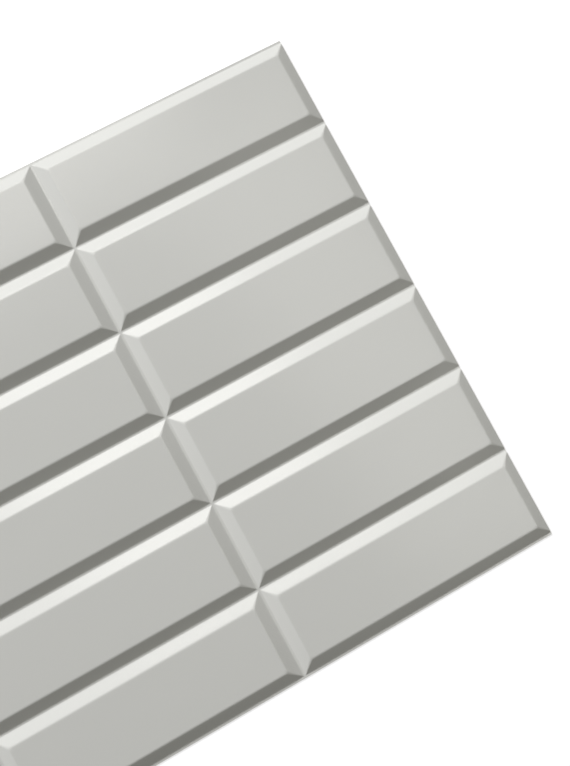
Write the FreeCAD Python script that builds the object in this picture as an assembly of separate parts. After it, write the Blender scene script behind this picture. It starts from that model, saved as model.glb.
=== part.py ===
"""A formed PVC wall panel with a relief of bevelled tiles, in millimetres.

The panel is one thin sheet, drawn warm over a mould and then trimmed. Its front shows tiles in straight
rows and columns: each has a flat face and four bevels that meet in mitred corners, and the bevels of two
neighbours run down into a shallow groove. The wall is equally thick all over, so each tile is a hollow on
the back, and the panel touches the wall along its groove floors only.

The panel lies on its back. X runs along its length, Y across it, and Z up through its face. The origin is
the middle of the back, on the plane of the groove floors.
"""

import FreeCAD
import Part

import math
import os

# Layout of the relief, measured between the centre lines of the grooves
TILE_LENGTH = 240.0
TILE_WIDTH = 80.0
TILE_COLUMNS = 4
TILE_ROWS = 6

# Section of the relief, measured on the front of the sheet
RELIEF_HEIGHT = 3.5       # from a groove floor up to a tile's face
BEVEL_RUN = 11.6          # plan width of one bevel, with the roundings at its foot and its shoulder
GROOVE_FLOOR_WIDTH = 0.7  # flat left at the bottom of a groove
VALLEY_RADIUS = 3.0       # from the groove floor into the bevel
SHOULDER_RADIUS = 6.5     # from the bevel into the tile's face

# The sheet and how it is trimmed
SHEET_THICKNESS = 0.5
SIDE_LIP = 1.2            # flat lip left outside the outer groove line of each long side
END_TRIM = 2.0            # each end is cut this far inside its outer groove line

# Half the sizes of the panel and of the foot of one tile's bevels, and the panel's whole depth
HALF_LENGTH = TILE_COLUMNS * TILE_LENGTH / 2 - END_TRIM
HALF_WIDTH = TILE_ROWS * TILE_WIDTH / 2 + SIDE_LIP
FOOT_HALF_LENGTH = (TILE_LENGTH - GROOVE_FLOOR_WIDTH) / 2
FOOT_HALF_WIDTH = (TILE_WIDTH - GROOVE_FLOOR_WIDTH) / 2
PANEL_DEPTH = SHEET_THICKNESS + RELIEF_HEIGHT

MITRED = 1                # how a sweep goes round a corner of its path


def rectangle(centre, half_length, half_width):
    """A level rectangle as a closed wire."""
    corners = [
        centre + FreeCAD.Vector(x * half_length, y * half_width, 0)
        for x, y in ((-1, -1), (1, -1), (1, 1), (-1, 1), (-1, -1))
    ]
    return Part.makePolygon(corners)


def tile_centres():
    """The middle of each tile, on the plane of the back."""
    return [
        FreeCAD.Vector(
            (column - (TILE_COLUMNS - 1) / 2) * TILE_LENGTH,
            (row - (TILE_ROWS - 1) / 2) * TILE_WIDTH,
            0,
        )
        for column in range(TILE_COLUMNS)
        for row in range(TILE_ROWS)
    ]


def bevel_section():
    """The cut through the bevel on a tile's near long side, one wall thick, at the middle of that side.

    The front rises from the groove floor on the valley's arc, goes up a straight slope and turns level on
    the shoulder's arc. The back runs beside it on arcs about the same two centres.
    """
    both_radii = VALLEY_RADIUS + SHOULDER_RADIUS
    rise = RELIEF_HEIGHT - both_radii
    slope = math.atan2(rise, BEVEL_RUN) + math.asin(both_radii / math.hypot(BEVEL_RUN, rise))
    valley = FreeCAD.Vector(0, -FOOT_HALF_WIDTH, SHEET_THICKNESS + VALLEY_RADIUS)
    shoulder = FreeCAD.Vector(0, BEVEL_RUN - FOOT_HALF_WIDTH, PANEL_DEPTH - SHOULDER_RADIUS)
    rising = (0, slope / 2, slope)
    falling = rising[::-1]

    def arc(centre, drop, turns):
        """Three points about a centre. drop is the radius, and is negative for an arc above its centre."""
        return [centre + FreeCAD.Vector(0, drop * math.sin(t), -drop * math.cos(t)) for t in turns]

    arcs = [
        arc(valley, VALLEY_RADIUS, rising),
        arc(shoulder, -SHOULDER_RADIUS, falling),
        arc(shoulder, SHEET_THICKNESS - SHOULDER_RADIUS, rising),
        arc(valley, VALLEY_RADIUS + SHEET_THICKNESS, falling),
    ]
    edges = []
    for here, following in zip(arcs, arcs[1:] + arcs[:1]):
        edges.append(Part.Arc(*here).toShape())
        edges.append(Part.LineSegment(here[-1], following[0]).toShape())
    return Part.Wire(edges)


def tile():
    """One raised tile about the origin: its bevels, swept round its foot and mitred, and its flat face."""
    start = FreeCAD.Vector(0, -FOOT_HALF_WIDTH, 0)
    corners = [
        FreeCAD.Vector(x * FOOT_HALF_LENGTH, y * FOOT_HALF_WIDTH, 0)
        for x, y in ((1, -1), (1, 1), (-1, 1), (-1, -1))
    ]
    path = Part.makePolygon([start] + corners + [start])
    bevels = path.makePipeShell([bevel_section()], True, False, MITRED)
    face_outline = rectangle(
        FreeCAD.Vector(0, 0, RELIEF_HEIGHT), FOOT_HALF_LENGTH - BEVEL_RUN, FOOT_HALF_WIDTH - BEVEL_RUN
    )
    face = Part.Face(face_outline).extrude(FreeCAD.Vector(0, 0, SHEET_THICKNESS))
    return bevels.fuse(face)


def groove_floors(centres):
    """The flat lattice that the tiles rise from, with both side lips and with ends still to be trimmed."""
    middle = FreeCAD.Vector(0, 0, 0)
    outline = rectangle(middle, HALF_LENGTH + END_TRIM, HALF_WIDTH)
    feet = [rectangle(centre, FOOT_HALF_LENGTH, FOOT_HALF_WIDTH) for centre in centres]
    lattice = Part.makeFace([outline] + feet, "Part::FaceMakerCheese")
    return lattice.extrude(FreeCAD.Vector(0, 0, SHEET_THICKNESS))


def formed_sheet():
    """The whole panel: the lattice with a tile in each of its openings, trimmed at both ends."""
    centres = tile_centres()
    pattern = tile()
    tiles = [pattern.translated(centre) for centre in centres]
    untrimmed = groove_floors(centres).fuse(tiles)
    corner = FreeCAD.Vector(-HALF_LENGTH, -HALF_WIDTH, -PANEL_DEPTH)
    kept = Part.makeBox(2 * HALF_LENGTH, 2 * HALF_WIDTH, 3 * PANEL_DEPTH, corner)
    return untrimmed.common(kept).removeSplitter()


def main():
    os.makedirs("parts", exist_ok=True)
    sheet = formed_sheet()
    sheet.exportStep("parts/formed_sheet.step")
    box = sheet.BoundBox
    print("formed_sheet", sheet.isValid(), len(sheet.Solids), "solid", len(sheet.Faces), "faces")
    print("size", box.XLength, box.YLength, box.ZLength, "volume", sheet.Volume)


main()
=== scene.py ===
"""A formed PVC wall panel with a relief of bevelled tiles, in metres.

The panel is one thin white sheet. It lies on its back: X runs along its length, Y across it and Z up
through its face. The origin is the middle of its back.
"""

import math

import bpy
from mathutils import Euler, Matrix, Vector


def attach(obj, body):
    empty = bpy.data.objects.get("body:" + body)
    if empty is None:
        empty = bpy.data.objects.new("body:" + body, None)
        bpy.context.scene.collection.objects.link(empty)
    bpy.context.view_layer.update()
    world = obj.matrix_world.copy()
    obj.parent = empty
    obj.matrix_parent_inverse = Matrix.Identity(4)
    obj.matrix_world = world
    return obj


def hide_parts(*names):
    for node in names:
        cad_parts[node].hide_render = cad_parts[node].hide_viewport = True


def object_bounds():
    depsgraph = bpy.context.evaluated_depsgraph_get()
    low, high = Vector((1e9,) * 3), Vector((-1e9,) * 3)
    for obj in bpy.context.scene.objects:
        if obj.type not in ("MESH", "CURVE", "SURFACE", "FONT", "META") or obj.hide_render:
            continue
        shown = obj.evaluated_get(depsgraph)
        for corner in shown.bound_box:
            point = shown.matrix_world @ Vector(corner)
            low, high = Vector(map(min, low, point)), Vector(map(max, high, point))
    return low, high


bl_info = {
    "name": "Formed wall panel",
    "version": (1, 0, 0),
    "blender": (4, 5, 0),
    "location": "View3D > Sidebar > Wall panel",
    "description": "Builds a formed PVC wall panel with its finish, and a plain studio around it",
    "category": "Add Mesh",
}

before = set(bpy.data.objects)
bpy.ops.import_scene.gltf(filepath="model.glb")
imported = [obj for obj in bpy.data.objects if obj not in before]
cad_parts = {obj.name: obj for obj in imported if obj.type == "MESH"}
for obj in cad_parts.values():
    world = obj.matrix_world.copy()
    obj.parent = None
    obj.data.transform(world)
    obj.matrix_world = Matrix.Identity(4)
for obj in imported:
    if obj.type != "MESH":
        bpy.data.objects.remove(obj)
PANEL_LOW, PANEL_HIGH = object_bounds()

SHEET_NODE = "formed_sheet"
SHEET_BODY = "root"

# Sizes of the relief that the frame's box doesn't give
TILE_COLUMNS = 4
TILE_ROWS = 6
GROOVE_FLOOR = 0.0007
BEVEL_RUN = 0.0116
VALLEY_RADIUS = 0.003
SHOULDER_RADIUS = 0.0065
SHEET_THICKNESS = 0.0005
SIDE_LIP = 0.0012
END_TRIM = 0.002

# How finely the relief is divided
VALLEY_STEPS = 5
SLOPE_STEPS = 4
SHOULDER_STEPS = 8
CORNER_STEPS = 8
FACE_MARGIN = 0.001
WELD_DISTANCE = 0.000002
SHARP_ANGLE = math.radians(45)

# How far up or down a face's normal points, at least, where the face is part of a skin
SKIN_LEVEL = 0.5

PVC_IOR = 1.5

# How many waves of each noise there are in a metre
CLOUDS = 7
POLISH_PATCHES = 35
FORMING_WAVES = 9
SATIN_GRAINS = 1500
CUT_MARKS = 900
FLOOR_SPECKLES = 300

# The part of a noise field's range that is spread between two values
NOISE_LOW = 0.2
NOISE_HIGH = 0.8

# Each finish: how far its roughness wanders, and the darkest share of its colour
FACE_VARIATION = (0.01, 0.985)
BACK_VARIATION = (0.04, 0.97)
EDGE_VARIATION = (0.06, 0.95)

# Cut marks against the satin grain, in height, and the floor's speckles against its colour
CUT_MARK_SHARE = 4
SPECKLE_SHARE = 0.98

# Each lamp: its tilt from straight up and its turn from +X, in degrees, as seen from the point it is
# aimed at, then its distance, its width and its height
LAMP_AIM = (0.24, -0.02, 0)
KEY_LAMP = (72, 111, 6, 0.5, 0.5)
WINDOW_LAMP = (38, 99, 6, 2.6, 3.2)
BROAD_LAMP = (14.5, 6, 5, 4.1, 1.3)
SIDE_LAMP = (51, 335, 0.8, 0.96, 0.08)

COOL_LIGHT = (0.96, 0.96, 1)
WARM_LIGHT = (1, 0.985, 0.945)

FLOOR_HALF_SIZE = 1.5
NEAREST_SEEN = 0.01

PANEL_LENGTH = PANEL_HIGH.x - PANEL_LOW.x
PANEL_WIDTH = PANEL_HIGH.y - PANEL_LOW.y
PANEL_DEPTH = PANEL_HIGH.z - PANEL_LOW.z


class PanelShape(bpy.types.PropertyGroup):
    """The sizes of the sheet's relief."""

    columns: bpy.props.IntProperty(
        name="Columns",
        description="Tiles side by side along the panel's length",
        default=TILE_COLUMNS,
        min=1,
    )
    rows: bpy.props.IntProperty(
        name="Rows",
        description="Tiles side by side across the panel's width",
        default=TILE_ROWS,
        min=1,
    )
    tile_length: bpy.props.FloatProperty(
        name="Tile length",
        description="Distance between the grooves at a tile's two ends",
        default=(PANEL_LENGTH + 2 * END_TRIM) / TILE_COLUMNS,
        unit="LENGTH",
    )
    tile_width: bpy.props.FloatProperty(
        name="Tile width",
        description="Distance between the grooves along a tile's two long sides",
        default=(PANEL_WIDTH - 2 * SIDE_LIP) / TILE_ROWS,
        unit="LENGTH",
    )
    relief: bpy.props.FloatProperty(
        name="Relief",
        description="Height of a tile's face above the groove floor",
        default=PANEL_DEPTH - SHEET_THICKNESS,
        unit="LENGTH",
    )
    bevel: bpy.props.FloatProperty(
        name="Bevel",
        description="Plan width of a bevel with its roundings",
        default=BEVEL_RUN,
        unit="LENGTH",
    )
    groove: bpy.props.FloatProperty(
        name="Groove floor",
        description="Flat width left in a groove",
        default=GROOVE_FLOOR,
        unit="LENGTH",
    )
    valley: bpy.props.FloatProperty(
        name="Valley radius",
        description="Rounding from a groove floor into the bevel",
        default=VALLEY_RADIUS,
        unit="LENGTH",
    )
    shoulder: bpy.props.FloatProperty(
        name="Shoulder radius",
        description="Rounding from a bevel into the tile's face",
        default=SHOULDER_RADIUS,
        unit="LENGTH",
    )
    hip: bpy.props.FloatProperty(
        name="Hip radius",
        description="Rounding in plan where two bevels meet at the groove",
        default=0.0006,
        unit="LENGTH",
    )
    corner: bpy.props.FloatProperty(
        name="Corner radius",
        description="Rounding in plan of the corners of a tile's face",
        default=0.003,
        unit="LENGTH",
    )
    thickness: bpy.props.FloatProperty(
        name="Sheet thickness",
        description="Thickness of the sheet, the same all over",
        default=SHEET_THICKNESS,
        unit="LENGTH",
    )
    lip: bpy.props.FloatProperty(
        name="Side lip",
        description="Flat lip outside the outer groove of each long side",
        default=SIDE_LIP,
        unit="LENGTH",
    )
    trim: bpy.props.FloatProperty(
        name="End trim",
        description="How far inside its outer groove line each end is cut",
        default=END_TRIM,
        unit="LENGTH",
    )


class PanelFinish(bpy.types.PropertyGroup):
    """The look of the sheet."""

    colour: bpy.props.FloatVectorProperty(
        name="Colour",
        description="Colour of the sheet",
        default=(0.695, 0.70, 0.66),
        size=3,
        subtype="COLOR",
    )
    face_roughness: bpy.props.FloatProperty(
        name="Face roughness",
        description="Roughness of the satin face",
        default=0.22,
        subtype="FACTOR",
    )
    back_roughness: bpy.props.FloatProperty(
        name="Back roughness",
        description="Roughness of the bare back and of the cut edges",
        default=0.5,
        subtype="FACTOR",
    )
    waviness: bpy.props.FloatProperty(
        name="Waviness",
        description="Height of the slow waves left by forming",
        default=0.0003,
        unit="LENGTH",
    )
    grain: bpy.props.FloatProperty(
        name="Grain",
        description="Height of the fine satin grain",
        default=0.00001,
        unit="LENGTH",
    )


class Studio(bpy.types.PropertyGroup):
    """The camera, the lamps and the floor."""

    lens: bpy.props.FloatProperty(
        name="Lens",
        description="Focal length for a 36 mm frame",
        default=33.54,
        unit="CAMERA",
    )
    camera_place: bpy.props.FloatVectorProperty(
        name="Camera place",
        description="Where the camera is",
        default=(0.28651, -0.03832, 0.59493),
        size=3,
        subtype="TRANSLATION",
    )
    camera_turn: bpy.props.FloatVectorProperty(
        name="Camera turn",
        description="How the camera is turned from looking straight down",
        default=(math.radians(3.8975), math.radians(-3.7591), math.radians(-28.6098)),
        size=3,
        subtype="EULER",
    )
    key_power: bpy.props.FloatProperty(
        name="Key power",
        description="Power of the low lamp that draws the bevels",
        default=532,
        unit="POWER",
    )
    window_power: bpy.props.FloatProperty(
        name="Window power",
        description="Power of the soft lamp beyond the far side",
        default=95.5,
        unit="POWER",
    )
    broad_power: bpy.props.FloatProperty(
        name="Broad power",
        description="Power of the wide lamp overhead",
        default=27,
        unit="POWER",
    )
    side_power: bpy.props.FloatProperty(
        name="Side power",
        description="Power of the near lamp beyond the end",
        default=0.5,
        unit="POWER",
    )
    floor_colour: bpy.props.FloatVectorProperty(
        name="Floor colour",
        description="Colour of the floor",
        default=(0.5, 0.5, 0.5),
        size=3,
        subtype="COLOR",
    )
    floor_glow: bpy.props.FloatProperty(
        name="Floor glow",
        description="Brightness that the floor shows even in shadow",
        default=0.68,
        min=0,
    )


class Field:
    """A number that runs through a node tree. Arithmetic on it adds Math nodes."""

    def __init__(self, tree, socket):
        self.tree = tree
        self.socket = socket

    def calculate(self, operation, *others, clamp=False):
        """A Math node on this number and the others."""
        node = self.tree.nodes.new("ShaderNodeMath")
        node.operation = operation
        node.use_clamp = clamp
        for socket, value in zip(node.inputs, (self, *others)):
            feed(self.tree, socket, value)
        return Field(self.tree, node.outputs[0])

    def __add__(self, other):
        return self.calculate("ADD", other)

    def __sub__(self, other):
        return self.calculate("SUBTRACT", other)

    def __mul__(self, other):
        return self.calculate("MULTIPLY", other)

    def __truediv__(self, other):
        return self.calculate("DIVIDE", other)

    def sine(self):
        return self.calculate("SINE")

    def cosine(self):
        return self.calculate("COSINE")

    def above(self, limit):
        return self.calculate("GREATER_THAN", limit)

    def below(self, limit):
        return self.calculate("LESS_THAN", limit)


def feed(tree, socket, value):
    """Links a socket to a field or to another socket, or sets it to a plain value."""
    if isinstance(value, Field):
        value = value.socket
    if isinstance(value, bpy.types.NodeSocket):
        tree.links.new(value, socket)
    else:
        socket.default_value = value


def add_node(tree, kind, inputs=None, **settings):
    """A new node with its settings made and its inputs fed, by name or by number."""
    node = tree.nodes.new(kind)
    for name, value in settings.items():
        setattr(node, name, value)
    for key, value in (inputs or {}).items():
        feed(tree, node.inputs[key], value)
    return node


def joined(tree, *geometries):
    """The first output of a Join Geometry node."""
    node = tree.nodes.new("GeometryNodeJoinGeometry")
    for geometry in geometries:
        tree.links.new(geometry, node.inputs[0])
    return node.outputs[0]


def welded(tree, geometry):
    """The geometry with the vertices that lie on each other merged."""
    return add_node(
        tree, "GeometryNodeMergeByDistance", {"Geometry": geometry, "Distance": WELD_DISTANCE}
    ).outputs[0]


def bevel_section(size, ring):
    """The inset from the groove's centre line and the height above its floor, for a ring of vertices.

    Ring 0 is the groove's centre line and ring 1 the foot of the bevel. The valley's arc, the straight
    slope and the shoulder's arc follow, and the last ring lies a little way in on the tile's face.
    """
    both_radii = size["valley"] + size["shoulder"]
    rise = size["relief"] - both_radii
    reach = (size["bevel"] * size["bevel"] + rise * rise).calculate("SQRT")
    slope = rise.calculate("ARCTAN2", size["bevel"]) + (both_radii / reach).calculate("ARCSINE")
    straight = size["bevel"] - both_radii * slope.sine()

    def progress(start, steps):
        """How much of a stretch of steps, from the ring it starts at, lies behind this ring."""
        return (ring - start).calculate("DIVIDE", steps, clamp=True)

    slope_start = 1 + VALLEY_STEPS
    shoulder_start = slope_start + SLOPE_STEPS
    face_start = shoulder_start + SHOULDER_STEPS
    foot = progress(0, 1) * size["groove"] / 2
    valley_turn = progress(1, VALLEY_STEPS) * slope
    run = progress(slope_start, SLOPE_STEPS) * straight
    shoulder_turn = slope - progress(shoulder_start, SHOULDER_STEPS) * slope
    margin = progress(face_start, 1) * FACE_MARGIN
    bevel_inset = (
        size["valley"] * valley_turn.sine()
        + run
        + size["shoulder"] * (slope.sine() - shoulder_turn.sine())
    )
    height = (
        size["valley"] - size["valley"] * valley_turn.cosine()
        + run * slope.calculate("TANGENT")
        + size["shoulder"] * (shoulder_turn.cosine() - slope.cosine())
    )
    share = bevel_inset / size["bevel"]
    plan_radius = (size["hip"] + (size["corner"] - size["hip"]) * share * share) * progress(0, 1)
    return foot + bevel_inset + margin, height, plan_radius


def place_in_tile(tree, size, ring, around):
    """Where a vertex lies: on a rectangle with rounded corners, inset and raised as its ring says.

    around counts the vertices anticlockwise, from the start of the corner at +X and +Y.
    """
    inset, height, radius = bevel_section(size, ring)
    corner_vertices = CORNER_STEPS + 1
    corner = (around / corner_vertices).calculate("FLOOR")
    step = around.calculate("MODULO", corner_vertices)
    quarter = math.pi / 2
    turn = (corner + step / CORNER_STEPS) * quarter
    middle = (corner + 0.5) * quarter
    side_x = middle.cosine().calculate("SIGN")
    side_y = middle.sine().calculate("SIGN")
    x = side_x * (size["tile_length"] / 2 - inset - radius) + radius * turn.cosine()
    y = side_y * (size["tile_width"] / 2 - inset - radius) + radius * turn.sine()
    z = height + size["thickness"]
    return add_node(tree, "ShaderNodeCombineXYZ", {"X": x, "Y": y, "Z": z}).outputs[0]


def tile_front(tree, size):
    """The front of one tile with the halves of the grooves around it: rings of faces and a flat middle."""
    rings = 3 + VALLEY_STEPS + SLOPE_STEPS + SHOULDER_STEPS
    vertices_around = 4 * (CORNER_STEPS + 1)
    index = Field(tree, tree.nodes.new("GeometryNodeInputIndex").outputs[0])

    band = add_node(
        tree, "GeometryNodeMeshGrid", {"Vertices X": vertices_around + 1, "Vertices Y": rings}
    ).outputs[0]
    ring = index.calculate("MODULO", rings)
    around = (index / rings).calculate("FLOOR")
    bevels = add_node(
        tree,
        "GeometryNodeSetPosition",
        {"Geometry": band, "Position": place_in_tile(tree, size, ring, around)},
    ).outputs[0]

    disc = add_node(
        tree, "GeometryNodeMeshCircle", {"Vertices": vertices_around}, fill_type="NGON"
    ).outputs[0]
    # A field that is the same at every vertex, because the whole disc lies in the last ring
    last_ring = index * 0 + (rings - 1)
    face = add_node(
        tree,
        "GeometryNodeSetPosition",
        {"Geometry": disc, "Position": place_in_tile(tree, size, last_ring, index)},
    ).outputs[0]
    return welded(tree, joined(tree, bevels, face))


def tile_pattern(tree, size, tile):
    """The tiles in their columns and rows, as one mesh."""
    length = (size["columns"] - 1) * size["tile_length"]
    width = (size["rows"] - 1) * size["tile_width"]
    points = add_node(
        tree,
        "GeometryNodeMeshGrid",
        {"Size X": length, "Size Y": width, "Vertices X": size["columns"], "Vertices Y": size["rows"]},
    ).outputs[0]
    tiles = add_node(tree, "GeometryNodeInstanceOnPoints", {"Points": points, "Instance": tile}).outputs[0]
    return welded(tree, add_node(tree, "GeometryNodeRealizeInstances", {"Geometry": tiles}).outputs[0])


def with_side_lips(tree, size, front):
    """The front with a flat lip drawn out of each long side."""
    position = tree.nodes.new("GeometryNodeInputPosition").outputs[0]
    y = Field(tree, add_node(tree, "ShaderNodeSeparateXYZ", {0: position}).outputs["Y"])
    outer_line = size["rows"] * size["tile_width"] / 2 - WELD_DISTANCE
    outward = y.calculate("SIGN") * size["lip"]
    offset = add_node(tree, "ShaderNodeCombineXYZ", {"Y": outward}).outputs[0]
    return add_node(
        tree,
        "GeometryNodeExtrudeMesh",
        {"Mesh": front, "Selection": y.calculate("ABSOLUTE").above(outer_line), "Offset": offset},
        mode="EDGES",
    ).outputs[0]


def with_wall(tree, size, front):
    """A closed sheet, one thickness deep all over, below the front."""
    inward = size["thickness"] * -1
    extruded = add_node(
        tree, "GeometryNodeExtrudeMesh", {"Mesh": front, "Offset Scale": inward, "Individual": False}
    ).outputs[0]
    back = add_node(tree, "GeometryNodeFlipFaces", {0: extruded}).outputs[0]
    return welded(tree, joined(tree, front, back))


def with_cut_ends(tree, size, sheet):
    """The sheet with both ends cut off square, inside their outer grooves."""
    length = size["columns"] * size["tile_length"] - size["trim"] * 2
    # One tile wider than the relief, and as tall, so that only the ends are cut
    width = (size["rows"] + 1) * size["tile_width"]
    kept = add_node(tree, "ShaderNodeCombineXYZ", {"X": length, "Y": width, "Z": width}).outputs[0]
    cutter = add_node(tree, "GeometryNodeMeshCube", {"Size": kept}).outputs[0]
    cut = add_node(tree, "GeometryNodeMeshBoolean", operation="INTERSECT", solver="EXACT")
    tree.links.new(sheet, cut.inputs["Mesh 2"])
    tree.links.new(cutter, cut.inputs["Mesh 2"])
    return cut.outputs[0]


def finished(tree, sheet, materials):
    """The sheet with smooth skins and sharp cut edges, each with its own finish."""
    normal = tree.nodes.new("GeometryNodeInputNormal").outputs[0]
    up = Field(tree, add_node(tree, "ShaderNodeSeparateXYZ", {0: normal}).outputs["Z"])
    fold = Field(tree, tree.nodes.new("GeometryNodeInputMeshEdgeAngle").outputs["Unsigned Angle"])
    smooth = add_node(
        tree, "GeometryNodeSetShadeSmooth", {"Geometry": sheet, "Shade Smooth": True}
    ).outputs[0]
    creased = add_node(
        tree,
        "GeometryNodeSetShadeSmooth",
        {"Geometry": smooth, "Selection": fold.above(SHARP_ANGLE), "Shade Smooth": False},
        domain="EDGE",
    ).outputs[0]
    faced = add_node(
        tree, "GeometryNodeSetMaterial", {"Geometry": creased, "Material": materials["Face"]}
    ).outputs[0]
    backed = add_node(
        tree,
        "GeometryNodeSetMaterial",
        {"Geometry": faced, "Selection": up.below(-SKIN_LEVEL), "Material": materials["Back"]},
    ).outputs[0]
    return add_node(
        tree,
        "GeometryNodeSetMaterial",
        {
            "Geometry": backed,
            "Selection": up.calculate("ABSOLUTE").below(SKIN_LEVEL),
            "Material": materials["Edge"],
        },
    ).outputs[0]


COUNTS = ("columns", "rows")
LENGTHS = (
    "tile_length",
    "tile_width",
    "relief",
    "bevel",
    "groove",
    "valley",
    "shoulder",
    "hip",
    "corner",
    "thickness",
    "lip",
    "trim",
)
FINISHES = ("Face", "Back", "Edge")


def sheet_tree():
    """The node tree that makes the whole sheet from its sizes."""
    tree = bpy.data.node_groups.new("Formed sheet", "GeometryNodeTree")
    for name in COUNTS:
        tree.interface.new_socket(name, in_out="INPUT", socket_type="NodeSocketInt")
    for name in LENGTHS:
        socket = tree.interface.new_socket(name, in_out="INPUT", socket_type="NodeSocketFloat")
        socket.subtype = "DISTANCE"
    for name in FINISHES:
        tree.interface.new_socket(name, in_out="INPUT", socket_type="NodeSocketMaterial")
    tree.interface.new_socket("Sheet", in_out="OUTPUT", socket_type="NodeSocketGeometry")

    sockets = tree.nodes.new("NodeGroupInput").outputs
    size = {name: Field(tree, sockets[name]) for name in COUNTS + LENGTHS}
    materials = {name: sockets[name] for name in FINISHES}
    front = tile_pattern(tree, size, tile_front(tree, size))
    sheet = with_wall(tree, size, with_side_lips(tree, size, front))
    sheet = finished(tree, with_cut_ends(tree, size, sheet), materials)
    add_node(tree, "NodeGroupOutput", {0: sheet})
    return tree


def set_inputs(modifier, values):
    """Sets a node modifier's inputs, which are kept under each socket's identifier."""
    for item in modifier.node_group.interface.items_tree:
        if item.in_out == "INPUT":
            modifier[item.identifier] = values[item.name]


def plain_mesh(name, modified):
    """A new object with the mesh that another object's modifiers give."""
    evaluated = modified.evaluated_get(bpy.context.evaluated_depsgraph_get())
    mesh = bpy.data.meshes.new_from_object(evaluated)
    mesh.name = name
    bpy.data.objects.remove(modified)
    piece = bpy.data.objects.new(name, mesh)
    bpy.context.scene.collection.objects.link(piece)
    return piece


def object_noise(tree, scale, detail):
    """A field of soft noise, fixed to the piece. scale counts its waves in a metre."""
    coordinates = tree.nodes.new("ShaderNodeTexCoord").outputs["Object"]
    noise = add_node(tree, "ShaderNodeTexNoise", {"Vector": coordinates, "Scale": scale, "Detail": detail})
    return noise.outputs["Fac"]


def between(tree, factor, low, high):
    """A number that follows a noise field between two values."""
    return add_node(
        tree,
        "ShaderNodeMapRange",
        {"Value": factor, "From Min": NOISE_LOW, "From Max": NOISE_HIGH, "To Min": low, "To Max": high},
    ).outputs[0]


def bumped(tree, height, distance, normal=None):
    """A Bump node, on top of another one where that is given."""
    node = add_node(tree, "ShaderNodeBump", {"Height": height, "Distance": distance})
    if normal:
        tree.links.new(normal, node.inputs["Normal"])
    return node.outputs[0]


def pvc(name, colour, roughness, variation, waves, grains):
    """White PVC, coloured right through.

    variation is how far the roughness wanders, and the darkest share of the colour. waves and grains are
    each the number of bumps in a metre and their height.
    """
    spread, tone = variation
    material = bpy.data.materials.new(name)
    material.use_nodes = True
    tree = material.node_tree
    shader = tree.nodes["Principled BSDF"]
    shader.inputs["IOR"].default_value = PVC_IOR
    cloudy = object_noise(tree, CLOUDS, 3)
    darker = [channel * tone for channel in colour]
    mixed = add_node(
        tree, "ShaderNodeMix", {"Factor": cloudy, "A": (*darker, 1), "B": (*colour, 1)}, data_type="RGBA"
    )
    tree.links.new(mixed.outputs["Result"], shader.inputs["Base Color"])
    patches = object_noise(tree, POLISH_PATCHES, 1)
    polish = between(tree, patches, roughness - spread, roughness + spread)
    tree.links.new(polish, shader.inputs["Roughness"])
    wavy = bumped(tree, object_noise(tree, waves[0], 2), waves[1])
    grainy = bumped(tree, object_noise(tree, grains[0], 2), grains[1], wavy)
    tree.links.new(grainy, shader.inputs["Normal"])
    return material


class WALLPANEL_OT_formed_sheet(bpy.types.Operator):
    """Build the formed sheet in place of its construction model"""

    bl_idname = "wall_panel.formed_sheet"
    bl_label = "Formed sheet"

    def execute(self, context):
        shape = context.scene.panel_shape
        finish = context.scene.panel_finish
        colour = tuple(finish.colour)
        values = {name: getattr(shape, name) for name in COUNTS + LENGTHS}
        satin = finish.face_roughness
        bare = finish.back_roughness
        waves = (FORMING_WAVES, finish.waviness)
        grain = (SATIN_GRAINS, finish.grain)
        cut_marks = (CUT_MARKS, finish.grain * CUT_MARK_SHARE)
        values["Face"] = pvc("satin_pvc_face", colour, satin, FACE_VARIATION, waves, grain)
        values["Back"] = pvc("bare_pvc_back", colour, bare, BACK_VARIATION, waves, grain)
        values["Edge"] = pvc("cut_pvc_edge", colour, bare, EDGE_VARIATION, waves, cut_marks)

        holder = bpy.data.objects.new("sheet_maker", bpy.data.meshes.new("sheet_maker"))
        context.scene.collection.objects.link(holder)
        modifier = holder.modifiers.new("Formed sheet", "NODES")
        modifier.node_group = sheet_tree()
        set_inputs(modifier, values)
        sheet = plain_mesh("satin_sheet", holder)
        if not sheet.data.polygons:
            raise RuntimeError("The formed sheet came out empty")
        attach(sheet, SHEET_BODY)
        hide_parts(SHEET_NODE)
        return {"FINISHED"}


def camera_rays(tree):
    """One for the rays that come straight from the camera, and none for all others."""
    return Field(tree, tree.nodes.new("ShaderNodeLightPath").outputs["Is Camera Ray"])


def white_world():
    """A world that looks white and sheds no light."""
    world = bpy.data.worlds.new("white_world")
    world.use_nodes = True
    tree = world.node_tree
    background = tree.nodes["Background"]
    background.inputs["Color"].default_value = (1, 1, 1, 1)
    feed(tree, background.inputs["Strength"], camera_rays(tree))
    return world


def floor_material(colour, glow):
    """A matt floor that takes shadows, brightened where it is looked at."""
    material = bpy.data.materials.new("white_floor")
    material.use_nodes = True
    tree = material.node_tree
    tree.nodes.clear()
    speckle = object_noise(tree, FLOOR_SPECKLES, 2)
    darker = [channel * SPECKLE_SHARE for channel in colour]
    paint = add_node(
        tree, "ShaderNodeMix", {"Factor": speckle, "A": (*darker, 1), "B": (*colour, 1)}, data_type="RGBA"
    )
    matt = add_node(tree, "ShaderNodeBsdfDiffuse", {"Color": paint.outputs["Result"]}).outputs[0]
    bright = add_node(tree, "ShaderNodeEmission", {"Strength": camera_rays(tree) * glow}).outputs[0]
    both = add_node(tree, "ShaderNodeAddShader", {0: matt, 1: bright}).outputs[0]
    add_node(tree, "ShaderNodeOutputMaterial", {"Surface": both})
    return material


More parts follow.
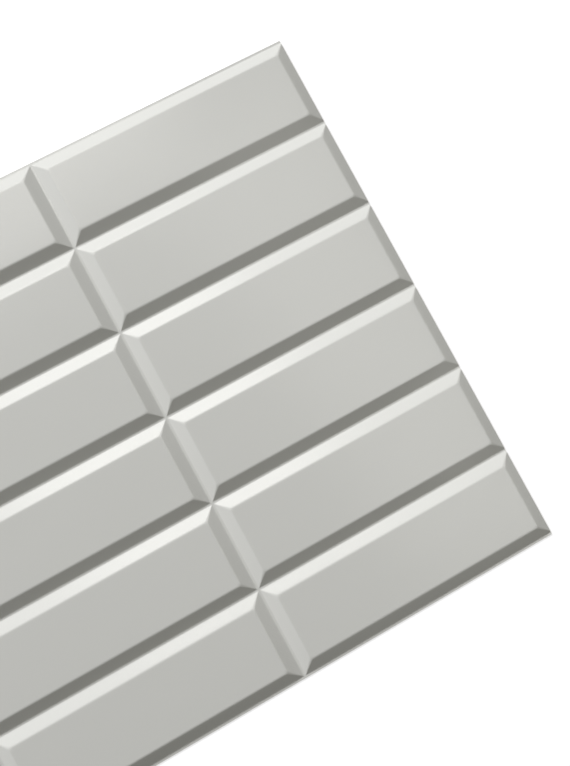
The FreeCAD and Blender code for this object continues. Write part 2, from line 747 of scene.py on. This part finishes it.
def add_floor(material):
    """A large level floor under the panel."""
    half = FLOOR_HALF_SIZE
    corners = [(-half, -half, 0), (half, -half, 0), (half, half, 0), (-half, half, 0)]
    mesh = bpy.data.meshes.new("floor")
    mesh.from_pydata(corners, [], [(0, 1, 2, 3)])
    mesh.materials.append(material)
    floor = bpy.data.objects.new("floor", mesh)
    bpy.context.scene.collection.objects.link(floor)


def add_lamp(name, place, colour, power):
    """A rectangular lamp, hung as its place says and turned to the aim."""
    tilt, turn, distance, width, height = place
    upward = Vector((0, 0, distance))
    offset = Euler((0, math.radians(tilt), math.radians(turn))).to_matrix() @ upward
    lamp_data = bpy.data.lights.new(name, "AREA")
    lamp_data.shape = "RECTANGLE"
    lamp_data.size = width
    lamp_data.size_y = height
    lamp_data.color = colour
    lamp_data.energy = power
    lamp = bpy.data.objects.new(name, lamp_data)
    lamp.location = Vector(LAMP_AIM) + offset
    lamp.rotation_euler = (-offset).to_track_quat("-Z", "Y").to_euler()
    lamp.visible_camera = False
    bpy.context.scene.collection.objects.link(lamp)
    return lamp


class WALLPANEL_OT_studio(bpy.types.Operator):
    """Build the floor, the lamps and the camera"""

    bl_idname = "wall_panel.studio"
    bl_label = "Studio"

    def execute(self, context):
        scene = context.scene
        studio = scene.panel_studio
        scene.world = white_world()
        add_floor(floor_material(tuple(studio.floor_colour), studio.floor_glow))
        key_lamp = add_lamp("key_lamp", KEY_LAMP, COOL_LIGHT, studio.key_power)
        # Its small image in the gloss would glare when the panel is seen from the near side
        key_lamp.visible_glossy = False
        add_lamp("window_lamp", WINDOW_LAMP, WARM_LIGHT, studio.window_power)
        add_lamp("broad_lamp", BROAD_LAMP, WARM_LIGHT, studio.broad_power)
        add_lamp("side_lamp", SIDE_LAMP, WARM_LIGHT, studio.side_power)

        camera_data = bpy.data.cameras.new("camera")
        camera_data.lens = studio.lens
        camera_data.clip_start = NEAREST_SEEN
        camera = bpy.data.objects.new("camera", camera_data)
        camera.location = studio.camera_place
        camera.rotation_euler = studio.camera_turn
        scene.collection.objects.link(camera)
        scene.camera = camera
        scene.view_settings.view_transform = "Standard"
        return {"FINISHED"}


class WALLPANEL_PT_sidebar(bpy.types.Panel):
    """The wall panel's sizes, finish and studio"""

    bl_idname = "WALLPANEL_PT_sidebar"
    bl_label = "Wall panel"
    bl_space_type = "VIEW_3D"
    bl_region_type = "UI"
    bl_category = "Wall panel"

    def draw(self, context):
        groups = (
            (context.scene.panel_shape, WALLPANEL_OT_formed_sheet),
            (context.scene.panel_finish, None),
            (context.scene.panel_studio, WALLPANEL_OT_studio),
        )
        for group, operator in groups:
            column = self.layout.column(align=True)
            for name in group.__annotations__:
                column.prop(group, name)
            if operator:
                column.operator(operator.bl_idname)


CLASSES = (
    PanelShape,
    PanelFinish,
    Studio,
    WALLPANEL_OT_formed_sheet,
    WALLPANEL_OT_studio,
    WALLPANEL_PT_sidebar,
)


def register():
    for cls in CLASSES:
        bpy.utils.register_class(cls)
    bpy.types.Scene.panel_shape = bpy.props.PointerProperty(type=PanelShape)
    bpy.types.Scene.panel_finish = bpy.props.PointerProperty(type=PanelFinish)
    bpy.types.Scene.panel_studio = bpy.props.PointerProperty(type=Studio)


def unregister():
    del bpy.types.Scene.panel_studio
    del bpy.types.Scene.panel_finish
    del bpy.types.Scene.panel_shape
    for cls in reversed(CLASSES):
        bpy.utils.unregister_class(cls)


def main():
    """Builds the sheet and the studio."""
    register()
    bpy.ops.wall_panel.formed_sheet()
    bpy.ops.wall_panel.studio()


if __name__ == "__main__":
    main()
